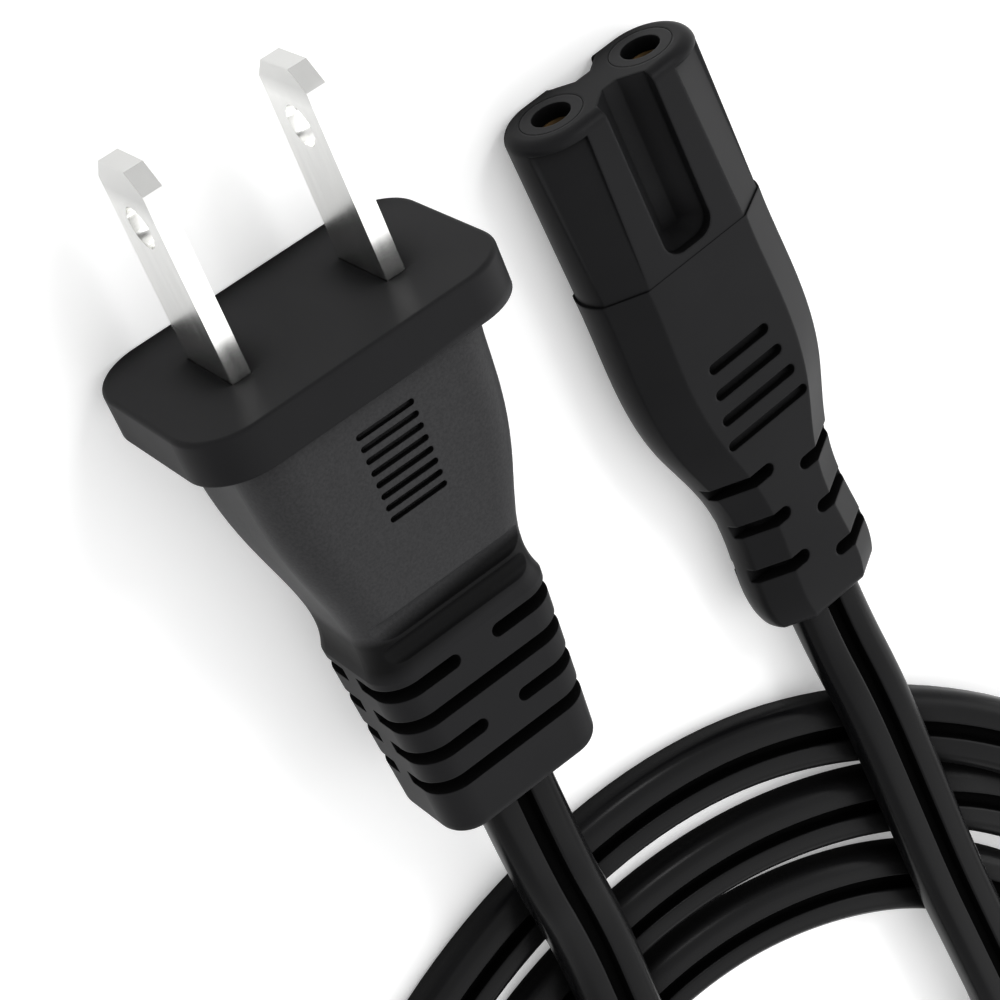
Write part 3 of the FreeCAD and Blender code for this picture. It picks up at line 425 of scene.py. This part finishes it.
    def _normal(
        self,
        tree: bpy.types.NodeTree,
        grain: bpy.types.NodeSocket,
        share: bpy.types.NodeSocket | None,
    ) -> bpy.types.NodeSocket:
        """Soften sharp edges and raise the grain.

        Args:
            tree: Node tree that gets the nodes.
            grain: Socket with the pattern of the grain.
            share: Socket with 1 on the grained skin and 0 elsewhere, or none for all of it.

        Returns:
            The socket with the normal.
        """
        soft = add_node(tree, "Bevel", samples=4, Radius=self.edge * MM)
        if share is not None:
            grain = add_node(
                tree, "Math", [(0, grain), (1, share)], operation="MULTIPLY"
            ).outputs[0]
        bump = add_node(
            tree,
            "Bump",
            [("Height", grain), ("Normal", soft.outputs["Normal"])],
            Strength=1.0,
            Distance=self.relief * MM,
        )
        return bump.outputs["Normal"]


@dataclass(frozen=True)
class Metal:
    """Plain or plated metal with a faint drawn texture along Y.

    Attributes:
        name: Name of the material.
        colour: sRGB colour of the surface.
        roughness: Mean roughness of the surface.
        streak: Width of the drawing marks in millimetres.
        relief: Depth of the drawing marks in millimetres.
        shade_end: Lowest and highest Y of an end greyed with painted shade, in millimetres, or
            none.
        squeeze: How much the pattern is squeezed along Y, which draws its marks out.
        gloss_spread: Share by which the roughness goes up and down.
        tint_spread: Share by which the colour goes up and down.
        shade_end_fade: Length over which the painted shade at that end starts, in millimetres.
        shade_end_share: Share of its light that the colour keeps under that painted shade.
        crease: Angle in degrees from which an edge stays sharp.
    """

    name: str
    colour: str
    roughness: float
    streak: float = 0.12
    relief: float = 0.0012
    shade_end: Pair | None = None
    squeeze: float = 0.06
    gloss_spread: float = 0.07
    tint_spread: float = 0.04
    shade_end_fade: float = 1.4
    shade_end_share: float = 0.68
    crease: float = 34.0

    def build(self) -> bpy.types.Material:
        """Build the material.

        Returns:
            The new material.
        """
        material = bpy.data.materials.new(self.name)
        material.use_nodes = True
        tree = material.node_tree
        shader = tree.nodes["Principled BSDF"]
        shader.inputs["Metallic"].default_value = 1.0
        place = add_node(tree, "TexCoord").outputs["Object"]
        drawn = add_node(
            tree, "Mapping", [("Vector", place)], Scale=(1.0, self.squeeze, 1.0)
        ).outputs["Vector"]
        marks = add_node(
            tree, "TexNoise", [("Vector", drawn)], Scale=1 / (self.streak * MM), Detail=2.0
        ).outputs["Fac"]
        gloss = add_node(
            tree,
            "MapRange",
            [("Value", marks)],
            From_Min=NOISE_LOW,
            From_Max=NOISE_HIGH,
            To_Min=self.roughness * (1 - self.gloss_spread),
            To_Max=self.roughness * (1 + self.gloss_spread),
        )
        bump = add_node(
            tree, "Bump", [("Height", marks)], Strength=1.0, Distance=self.relief * MM
        )
        tint = add_tint(tree, self.colour, self.tint_spread, marks)
        # Painted shade greys one end.
        if self.shade_end:
            end = add_band(tree, place, self.shade_end, self.shade_end_fade)
            tint = add_node(
                tree,
                "MixRGB",
                [("Fac", end), ("Color1", tint)],
                Color2=shaded(self.colour, self.shade_end_share),
            ).outputs["Color"]
        tree.links.new(tint, shader.inputs["Base Color"])
        tree.links.new(gloss.outputs["Result"], shader.inputs["Roughness"])
        tree.links.new(bump.outputs["Normal"], shader.inputs["Normal"])
        return material


# Plasticised PVC from a polished mould: an even black with a soft, wide sheen.
CONNECTOR_PVC = Plastic(
    "connector_satin_pvc_moulding", colour="#1b1b1c", roughness=0.36, relief=0.002, edge=0.3
)
# Plasticised PVC from a mould with spark-eroded sides: the grip looks matt, grey and finely
# speckled, the rest smooth and black, with a band of painted shade across the waist's valley.
# The real grain is too fine to show, so this is coarser.
PLUG_PVC = Plastic(
    "plug_grained_pvc_moulding",
    colour="#1d1d1e",
    roughness=0.46,
    relief=0.009,
    grain=0.22,
    grained=(4.6, 24.1),
    grained_colour="#333334",
    # Painted shade across the waist's valley.
    painted_shade=(2.4, 6.4),
)
# Extruded PVC, smoother than the mouldings: deep black with a long clean highlight on each core.
CORD_PVC = Plastic(
    "cord_extruded_pvc",
    colour="#0b0b0c",
    roughness=0.24,
    relief=0.0015,
    grain=0.8,
    edge=0.05,
    specular=0.07,
)
# The same PVC down in the grooves, painted near black as shade and with a duller skin:
# a line with hardly any light.
GROOVE_SHADE_PVC = Plastic(
    "cord_groove_painted_shade_pvc",
    colour="#040404",
    roughness=0.6,
    relief=0.0015,
    grain=0.8,
    edge=0.05,
    specular=0.02,
)
# Moulded nylon, harder than the PVC round it: a shade paler and a little glossier.
INSERT_NYLON = Plastic("insert_moulded_nylon", colour="#232324", roughness=0.34, relief=0.002)
# Nickel plate on stamped brass: nearly white, with faint marks along the blade and painted
# shade that greys the coined tip. The real marks are too fine to show, so these are wider.
NICKEL = Metal(
    "blade_nickel_plated_brass",
    "#e4e4e2",
    roughness=0.22,
    streak=0.6,
    relief=0.0001,
    shade_end=(40.3, 50.0),
)
# Rolled phosphor bronze, darkened with painted shade as it sits down in the sockets: a dark
# brownish glint.
SHADED_BRONZE = Metal("contact_phosphor_bronze_painted_shade", "#5d4a31", roughness=0.45)
# Bare drawn copper: warm and reddish, as strands are where the insulation is cut back.
COPPER = Metal("strand_bare_copper", "#c8744a", roughness=0.35)


@dataclass(frozen=True)
class View:
    """Camera that sees the object as the photograph does.

    Attributes:
        place: Where the camera stands, in millimetres.
        right: Direction of the picture's right side.
        up: Direction of the picture's top.
        lens: Focal length in millimetres.
        sensor: Width of the sensor in millimetres.
    """

    place: Point = (-77.442, 112.932, 158.988)
    right: Point = (0.74680957, -0.38118931, 0.54494971)
    up: Point = (0.60151859, 0.73665983, -0.30904317)
    lens: float = 97.2
    sensor: float = 36.0

    def build(self) -> bpy.types.Object:
        """Place the camera and make it the scene's own.

        Returns:
            The camera.
        """
        data = bpy.data.cameras.new("camera")
        data.lens = self.lens
        data.sensor_width = self.sensor
        data.clip_start = 0.005
        data.clip_end = 10.0
        camera = bpy.data.objects.new("camera", data)
        bpy.context.scene.collection.objects.link(camera)
        right, up = Vector(self.right), Vector(self.up)
        axes = Matrix((right, up, right.cross(up))).transposed()
        camera.matrix_world = Matrix.Translation(Vector(self.place) * MM) @ axes.to_4x4()
        bpy.context.scene.camera = camera
        return camera


@dataclass(frozen=True)
class Lamp:
    """One soft studio lamp.

    Attributes:
        name: Name of the lamp.
        place: Where it hangs, in metres.
        size: Width and height in metres.
        power: Strength in watts.
        target: Point it shines at, in metres.
    """

    name: str
    place: Point
    size: Pair
    power: float
    target: Point = (-0.015, -0.02, 0.0)

    def build(self) -> bpy.types.Object:
        """Hang the lamp.

        Returns:
            The lamp.
        """
        data = bpy.data.lights.new(self.name, "AREA")
        data.shape = "RECTANGLE"
        data.size, data.size_y = self.size
        data.energy = self.power
        lamp = bpy.data.objects.new(self.name, data)
        bpy.context.scene.collection.objects.link(lamp)
        lamp.location = self.place
        aim = Vector(self.target) - Vector(self.place)
        lamp.rotation_euler = aim.to_track_quat("-Z", "Y").to_euler()
        return lamp


@dataclass(frozen=True)
class Studio:
    """White table, even surroundings and soft lamps.

    Attributes:
        air: sRGB colour of the light from all round.
        air_power: Strength of that light.
        table: sRGB colour of the table top.
        table_roughness: Roughness of the table top.
        table_half: Half the width of the table top, in metres.
        table_glow: Glow that makes it white where it is seen, also in a reflection.
        lamps: The lamps.
    """

    air: str = "#f5f5f5"
    air_power: float = 0.35
    table: str = "#f6f6f6"
    table_roughness: float = 0.7
    table_half: float = 3.0
    table_glow: float = 0.28
    lamps: tuple[Lamp, ...] = (
        Lamp("lamp_top", (0.15, -0.1, 0.8), (1.6, 1.6), 8.0),
        Lamp("lamp_right", (0.8, -0.3, 0.35), (0.7, 1.0), 4.0),
        Lamp("lamp_left", (-0.8, 0.2, 0.3), (0.4, 0.7), 1.5),
        Lamp("lamp_rim", (0.33, 0.52, 0.66), (0.2, 0.2), 1.6),
    )

    def build(self) -> None:
        """Make the surroundings, the table top and the lamps."""
        self._make_world()
        self._make_floor()
        for lamp in self.lamps:
            lamp.build()

    def _make_world(self) -> None:
        """Give the world an even pale light and a white look to the camera."""
        world = bpy.data.worlds.new("studio")
        bpy.context.scene.world = world
        world.use_nodes = True
        tree = world.node_tree
        tree.nodes.clear()
        seen = add_node(tree, "Background", Color=(1, 1, 1, 1), Strength=1.0)
        lit = add_node(tree, "Background", Color=linear(self.air), Strength=self.air_power)
        mix = add_node(
            tree,
            "MixShader",
            [
                (0, looked_at(tree)),
                (1, lit.outputs["Background"]),
                (2, seen.outputs["Background"]),
            ],
        )
        add_node(tree, "OutputWorld", [("Surface", mix.outputs["Shader"])])

    def _make_floor(self) -> None:
        """Make the white table top."""
        mesh = bpy.data.meshes.new("floor")
        form = bmesh.new()
        bmesh.ops.create_grid(form, x_segments=1, y_segments=1, size=self.table_half)
        form.to_mesh(mesh)
        form.free()
        floor = bpy.data.objects.new("floor", mesh)
        bpy.context.scene.collection.objects.link(floor)
        # Laminate with a matt pressed face: an even white with no highlights.
        material = bpy.data.materials.new("white_laminate")
        material.use_nodes = True
        tree = material.node_tree
        shader = tree.nodes["Principled BSDF"]
        shader.inputs["Base Color"].default_value = linear(self.table)
        shader.inputs["Roughness"].default_value = self.table_roughness
        shader.inputs["Emission Color"].default_value = (1, 1, 1, 1)
        glow = add_node(
            tree, "MapRange", [("Value", looked_at(tree))], To_Min=0.0, To_Max=self.table_glow
        )
        tree.links.new(glow.outputs["Result"], shader.inputs["Emission Strength"])
        mesh.materials.append(material)


@dataclass(frozen=True)
class Dressed:
    """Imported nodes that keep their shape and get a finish.

    Attributes:
        packed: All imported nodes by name.
        finishes: Finish of each node of this sub-assembly.
    """

    packed: dict[str, bpy.types.Object]
    finishes: ClassVar[dict[str, Plastic | Metal]] = {}

    def dress(self) -> None:
        """Smooth each node and give it its finish."""
        for name, finish in self.finishes.items():
            mesh = self.packed[name].data
            mesh.materials.clear()
            mesh.materials.append(bpy.data.materials.get(finish.name) or finish.build())
            mesh.polygons.foreach_set("use_smooth", [True] * len(mesh.polygons))
            mesh.set_sharp_from_angle(angle=math.radians(finish.crease))
            LOG.info("%s: %s, %d faces", name, finish.name, len(mesh.polygons))


@dataclass(frozen=True)
class Connector(Dressed):
    """Connector with its insert, contacts, cores and strands."""

    finishes: ClassVar[dict[str, Plastic | Metal]] = {
        "connector_overmould": CONNECTOR_PVC,
        "connector_insert": INSERT_NYLON,
        "contact_left": SHADED_BRONZE,
        "contact_right": SHADED_BRONZE,
        "connector_core_left": CORD_PVC,
        "connector_core_right": CORD_PVC,
        "connector_strands_left": COPPER,
        "connector_strands_right": COPPER,
    }


@dataclass(frozen=True)
class Plug(Dressed):
    """Plug with its blades, bridge, cores and strands.

    Attributes:
        face: Middle of the face that the blades stand on, in millimetres.
        turn: Degrees by which the plug is turned from +Y, counter-clockwise from above.
        length: Length of the moulding, in millimetres.
    """

    face: Point = (-29.53, 27.5, 8.9)
    turn: float = -3.8
    length: float = 41.3
    finishes: ClassVar[dict[str, Plastic | Metal]] = {
        "plug_overmould": PLUG_PVC,
        "plug_bridge": INSERT_NYLON,
        "blade_left": NICKEL,
        "blade_right": NICKEL,
        "plug_core_left": CORD_PVC,
        "plug_core_right": CORD_PVC,
        "plug_strands_left": COPPER,
        "plug_strands_right": COPPER,
    }

    @property
    def nodes(self) -> list[bpy.types.Object]:
        """The plug's nodes, which go with the cord."""
        return [self.packed[name] for name in self.finishes]

    def behind(self, depth: float) -> Vector:
        """Find a point on the plug's axis.

        Args:
            depth: Distance behind the plug's face, in millimetres.

        Returns:
            The point in millimetres.
        """
        turn = math.radians(self.turn)
        ahead = Vector((-math.sin(turn), math.cos(turn), 0))
        return Vector(self.face) - ahead * depth


@dataclass(frozen=True)
class FlatCord:
    """Flat twin cord from the connector, three turns round and on to the plug.

    Attributes:
        width: Width of both cores together, in millimetres.
        thick: Thickness, in millimetres.
        groove: Depth of the groove between the cores, in millimetres.
        mouth: Width of that groove, in millimetres.
        middle: Centre of the coil, in millimetres.
        steps: Points for each turn of the coil.
        into_plug: Length of the straight run into the plug, in millimetres.
        corner: Radius of the section's corners, as a share of half the thickness.
        corner_points: Points round each of those corners.
        crease: Angle in degrees from which an edge stays sharp.
        lip: How far out of the mouth and below the top the groove's lip goes, in millimetres.
        foot: How far inside the mouth and above the bottom its foot goes, in millimetres.
        first_run: Points from the connector to the coil, in millimetres.
        winding: Degrees turned, and radius and height in millimetres, where the coil changes.
        last_run: Points from the coil to the plug, in millimetres.
    """

    width: float = 6.5
    thick: float = 3.25
    groove: float = 0.95
    mouth: float = 1.3
    middle: Pair = (-27.7, -80.7)
    steps: int = 16
    into_plug: float = 9.2
    corner: float = 0.86
    corner_points: int = 9
    crease: float = 50.0
    lip: tuple[Pair, ...] = ((0.22, 0.0), (0.07, 0.03), (0.0, 0.12), (-0.06, 0.40))
    foot: tuple[Pair, ...] = ((0.10, 0.12), (0.20, 0.0))
    first_run: tuple[Point, ...] = (
        (0.0, -25.1, 3.9),
        (0.0, -29.7, 3.9),
        (0.0, -36.8, 5.0),
        (-0.1, -47.9, 5.1),
        (-0.2, -58.4, 5.1),
        (0.1, -68.0, 5.1),
        (0.4, -77.0, 5.0),
        (0.1, -86.5, 3.4),
    )
    winding: tuple[Point, ...] = (
        (33.0, 27.9, 1.7),
        (90.0, 29.4, 1.63),
        (160.0, 31.4, 1.63),
        (270.0, 31.4, 1.63),
        (315.0, 32.1, 1.63),
        (375.0, 39.7, 1.63),
        (630.0, 39.3, 1.63),
        (675.0, 39.9, 1.63),
        (735.0, 47.8, 1.63),
        (970.0, 48.1, 1.63),
        (990.0, 48.8, 1.63),
        (1006.0, 48.6, 1.63),
        (1030.0, 47.1, 1.63),
        (1054.0, 47.9, 5.05),
        (1070.0, 48.8, 5.1),
    )
    last_run: tuple[Point, ...] = (
        (21.4, -86.0, 5.1),
        (16.1, -104.3, 5.1),
        (-2.5, -116.0, 5.1),
        (-24.2, -111.9, 5.0),
        (-37.4, -94.2, 2.1),
        (-34.4, -66.9, 1.8),
        (-32.9, -52.9, 5.0),
        (-32.2, -43.9, 5.1),
        (-31.9, -34.6, 6.2),
    )

    def turns(self) -> list[Point]:
        """List the coil's points, clockwise from above and from the inside out.

        Returns:
            Points in millimetres.
        """
        step = 360 / self.steps
        widen = 1 / math.cos(math.radians(step / 2))
        first, last = self.winding[0][0], self.winding[-1][0]
        count = round((last - first) / step)
        x, y = self.middle
        points = []
        for index in range(count + 1):
            turned = first + (last - first) * index / count
            radius, height = self._laid(turned)
            across = radius * widen
            angle = math.radians(-turned)
            points.append((x + across * math.cos(angle), y + across * math.sin(angle), height))
        return points

    def _laid(self, turned: float) -> Pair:
        """Find how far out and how high the coil lies.

        Args:
            turned: Degrees turned clockwise from +X.

        Returns:
            Radius and height in millimetres.
        """
        for (start, near, low), (end, far, high) in zip(self.winding, self.winding[1:]):
            if turned <= end:
                share = (turned - start) / (end - start)
                return near + (far - near) * share, low + (high - low) * share
        return self.winding[-1][1:]

    def route(self, plug: Plug) -> list[Vector]:
        """Join the runs and the turns into one route.

        Args:
            plug: The plug at the far end.

        Returns:
            The cord's control points in metres.
        """
        points = [Vector(p) for p in (*self.first_run, *self.turns(), *self.last_run)]
        points += [plug.behind(plug.length + self.into_plug), plug.behind(plug.length)]
        return [p * MM for p in points]

    def line(self, points: list[Vector]) -> list[Vector]:
        """Follow one smooth spline through the route.

        Args:
            points: The cord's control points in metres.

        Returns:
            Points along the spline in metres.
        """
        curve = bpy.data.curves.new("cord_line", "CURVE")
        curve.dimensions = "3D"
        curve.resolution_u = 10
        spline = curve.splines.new("NURBS")
        spline.points.add(len(points) - 1)
        for slot, point in zip(spline.points, points):
            slot.co = (*point, 1.0)
        spline.order_u = 3
        spline.use_endpoint_u = True
        holder = bpy.data.objects.new("cord_line", curve)
        bpy.context.scene.collection.objects.link(holder)
        bpy.context.view_layer.update()
        drawn = bpy.data.meshes.new_from_object(holder)
        line = [v.co.copy() for v in drawn.vertices]
        bpy.data.objects.remove(holder)
        bpy.data.meshes.remove(drawn)
        return line

    def section(self) -> list[Pair]:
        """Draw the outline of the two cores and the web between them.

        Returns:
            Points across and up, in millimetres, counter-clockwise.
        """
        half, rise = self.width / 2, self.thick / 2
        corner = rise * self.corner
        right = []
        for index in range(self.corner_points):
            turn = math.radians(index * 90 / (self.corner_points - 1))
            right.append(
                (half - corner + corner * math.cos(turn), rise - corner + corner * math.sin(turn))
            )
        edge, bottom = self.mouth / 2, rise - self.groove
        right += [(edge + out, rise - down) for out, down in self.lip]
        right += [(edge - inside, bottom + up) for inside, up in self.foot]
        upper = right + [(0.0, bottom)] + [(-x, y) for x, y in reversed(right)]
        return upper + [(-x, -y) for x, y in upper]

    def _sweep(self, line: list[Vector]) -> bpy.types.Mesh:
        """Sweep the section along a line, with painted shade on its faces in the grooves.

        Args:
            line: Points along the cord in metres.

        Returns:
            The cord's mesh, with both ends closed.
        """
        outline = self.section()
        form = bmesh.new()
        rings = []
        for index, point in enumerate(line):
            ahead = line[min(index + 1, len(line) - 1)] - line[max(index - 1, 0)]
            ahead.normalize()
            side = ahead.cross(Vector((0, 0, 1))).normalized()
            top = side.cross(ahead).normalized()
            rings.append(
                [form.verts.new(point + (side * x + top * y) * MM) for x, y in outline]
            )
        # The faces down in the grooves get the second material, with painted shade.
        in_groove = [abs(x) <= self.mouth / 2 for x, _ in outline]
        for near, far in zip(rings, rings[1:]):
            for k in range(len(outline)):
                after = (k + 1) % len(outline)
                face = form.faces.new((near[k], near[after], far[after], far[k]))
                face.material_index = int(in_groove[k] and in_groove[after])
        form.faces.new(list(reversed(rings[0])))
        form.faces.new(rings[-1])
        bmesh.ops.recalc_face_normals(form, faces=form.faces)
        mesh = bpy.data.meshes.new("cord")
        form.to_mesh(mesh)
        form.free()
        mesh.polygons.foreach_set("use_smooth", [True] * len(mesh.polygons))
        mesh.set_sharp_from_angle(angle=math.radians(self.crease))
        return mesh

    def build(self, plug: Plug, skin: Plastic, painted_shade: Plastic) -> bpy.types.Object:
        """Args:
            plug: The plug at the far end.
            skin: The cord's finish.
            painted_shade: The finish down in the grooves, near black as painted shade.

        Returns:
            The cord.
        """
        line = self.line(self.route(plug))
        mesh = self._sweep(line)
        mesh.materials.append(skin.build())
        mesh.materials.append(painted_shade.build())
        cord = bpy.data.objects.new("cord", mesh)
        bpy.context.scene.collection.objects.link(cord)
        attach(cord, "root")
        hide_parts("cord_connector_lead", "cord_coil", "cord_plug_lead")
        return cord


def main() -> None:
    """Load the model, make the camera and the cord, dress the rest and light it."""
    logging.basicConfig(level=logging.INFO)
    for item in list(bpy.data.objects):
        bpy.data.objects.remove(item)
    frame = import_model()
    bpy.context.scene.view_settings.view_transform = "Standard"
    View().build()
    plug = Plug(frame["nodes"])
    FlatCord().build(plug, CORD_PVC, GROOVE_SHADE_PVC)
    Connector(frame["nodes"]).dress()
    plug.dress()
    Studio().build()


if __name__ == "__main__":
    main()
